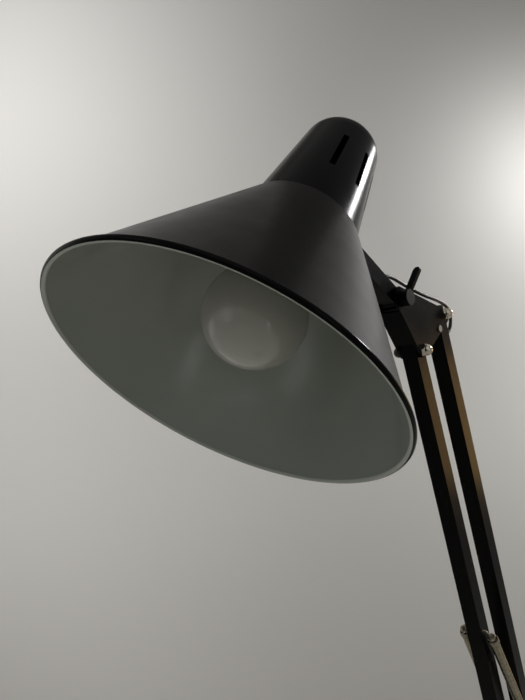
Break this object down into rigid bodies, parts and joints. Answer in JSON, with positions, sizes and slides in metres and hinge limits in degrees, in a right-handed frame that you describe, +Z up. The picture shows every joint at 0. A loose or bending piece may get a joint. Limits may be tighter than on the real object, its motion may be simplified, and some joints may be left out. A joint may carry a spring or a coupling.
{
  "type": "adjustable floor lamp",
  "caption": "Black adjustable floor lamp with a conical shade, spring-balanced parallelogram arms, a swivelling pole and a weighted round base",
  "frame": {"origin": "middle of the underside of the base, on the floor", "axes": "+Z is up along the pole; +X points forward to the side that the shade reaches to; +Y lies along the pivot pins, to the side of the wing knob"},
  "size_m": [0.5204, 0.26, 1.6661],
  "materials": {
    "cast_iron_weight": "as cast",
    "black_paint": "satin black paint on steel",
    "shade_paint": "fine textured black outside, pale grey enamel inside",
    "cap_black": "satin black moulding",
    "nickel": "bright nickel plate",
    "spring_wire": "plated spring wire",
    "white_plastic": "moulded nylon",
    "pad_rubber": "matt rubber",
    "lead_black": "flexible sheath",
    "bulb_clear": "thin grey translucent glass",
    "screw_shell": "pressed metal screw shell"
  },
  "bodies": {
    "base": {"base_weight": "cast_iron_weight", "base_cover": "black_paint", "base_pad": "pad_rubber", "base_washer": "nickel", "base_nut": "nickel", "pole_foot": "nickel", "pole_flange": "black_paint", "pole_lower": "black_paint", "pole_joiner": "nickel", "pole_upper": "black_paint", "swivel_bush": "white_plastic", "cord_gland": "pad_rubber"},
    "turret": {"turret_bracket": "black_paint", "swivel_spigot": "nickel", "turret_pins": "nickel", "turret_pin_caps": "nickel", "turret_pin_heads": "black_paint", "turret_lead": "lead_black"},
    "lower_front_arm": {"lower_front_bar": "black_paint", "lower_springs": "spring_wire"},
    "lower_rear_arm": {"lower_rear_bar": "black_paint"},
    "elbow": {"elbow_plate_left": "black_paint", "elbow_plate_right": "black_paint", "elbow_pins": "nickel", "elbow_pin_caps": "nickel", "elbow_pin_heads": "black_paint", "elbow_spacer": "nickel", "elbow_lead_upper": "lead_black", "elbow_lead_lower": "lead_black"},
    "upper_front_arm": {"upper_front_bar": "black_paint", "upper_springs": "spring_wire"},
    "upper_rear_arm": {"upper_rear_bar": "black_paint"},
    "head": {"head_bracket": "black_paint", "head_pins": "nickel", "head_pin_caps": "nickel", "head_pin_heads": "black_paint", "stop_rivet": "nickel", "knuckle_nut": "nickel", "bracket_lead": "lead_black"},
    "wing_knob": {"wing_knob": "cap_black"},
    "shade": {"shade_strap": "black_paint", "strap_rivets": "nickel", "shade_cone": "shade_paint", "socket_cap": "cap_black", "cap_screws": "nickel", "switch_body": "cap_black", "switch_nut": "nickel", "lamp_holder": "cap_black", "holder_ring": "cap_black", "bulb_glass": "bulb_clear", "bulb_base": "screw_shell", "bulb_stem": "bulb_clear", "head_lead": "lead_black"},
    "switch_button": {"switch_button": "cap_black"}
  },
  "joints": [
    {"name": "base_swivel", "type": "hinge", "parent": "base", "child": "turret", "pos_m": [0, 0, 0.64], "axis": [0, 0, 1], "range_deg": [-165, 165]},
    {"name": "lower_arm", "type": "hinge", "parent": "turret", "child": "lower_rear_arm", "pos_m": [-0.023, 0, 0.68], "axis": [0, 1, 0], "range_deg": [-20, 45], "deforming": ["turret_lead"]},
    {"name": "lower_front_link", "type": "hinge", "parent": "turret", "child": "lower_front_arm", "pos_m": [0.023, 0, 0.68], "axis": [0, 1, 0], "range_deg": [-20, 45], "deforming": ["lower_springs"]},
    {"name": "elbow_level", "type": "hinge", "parent": "lower_rear_arm", "child": "elbow", "pos_m": [-0.19205, 0, 1.04252], "axis": [0, 1, 0], "range_deg": [-45, 20], "deforming": ["elbow_lead_lower"]},
    {"name": "upper_arm", "type": "hinge", "parent": "elbow", "child": "upper_rear_arm", "pos_m": [-0.18905, 0, 1.12202], "axis": [0, 1, 0], "range_deg": [-26, 50], "deforming": ["elbow_lead_upper"]},
    {"name": "upper_front_link", "type": "hinge", "parent": "elbow", "child": "upper_front_arm", "pos_m": [-0.15205, 0, 1.08852], "axis": [0, 1, 0], "range_deg": [-26, 50], "deforming": ["upper_springs"]},
    {"name": "head_level", "type": "hinge", "parent": "upper_rear_arm", "child": "head", "pos_m": [-0.01896, 0, 1.54942], "axis": [0, 1, 0], "range_deg": [-50, 26], "deforming": ["bracket_lead"]},
    {"name": "shade_tilt", "type": "hinge", "parent": "head", "child": "shade", "pos_m": [0.04704, 0, 1.55192], "axis": [0, 1, 0], "range_deg": [-57, 33], "deforming": ["head_lead"]},
    {"name": "wing_turn", "type": "hinge", "parent": "head", "child": "wing_knob", "pos_m": [0.04704, 0, 1.55192], "axis": [0, 1, 0], "range_deg": [-180, 180]},
    {"name": "switch_press", "type": "slide", "parent": "shade", "child": "switch_button", "axis": [0.5446, 0, -0.8387], "range_m": [0, 0.0025], "stiffness_N_per_m": 900}
  ],
  "couplings": [
    {"joint": "lower_front_link", "follows": "lower_arm", "ratio": 1},
    {"joint": "elbow_level", "follows": "lower_arm", "ratio": -1},
    {"joint": "upper_front_link", "follows": "upper_arm", "ratio": 1},
    {"joint": "head_level", "follows": "upper_arm", "ratio": -1}
  ]
}
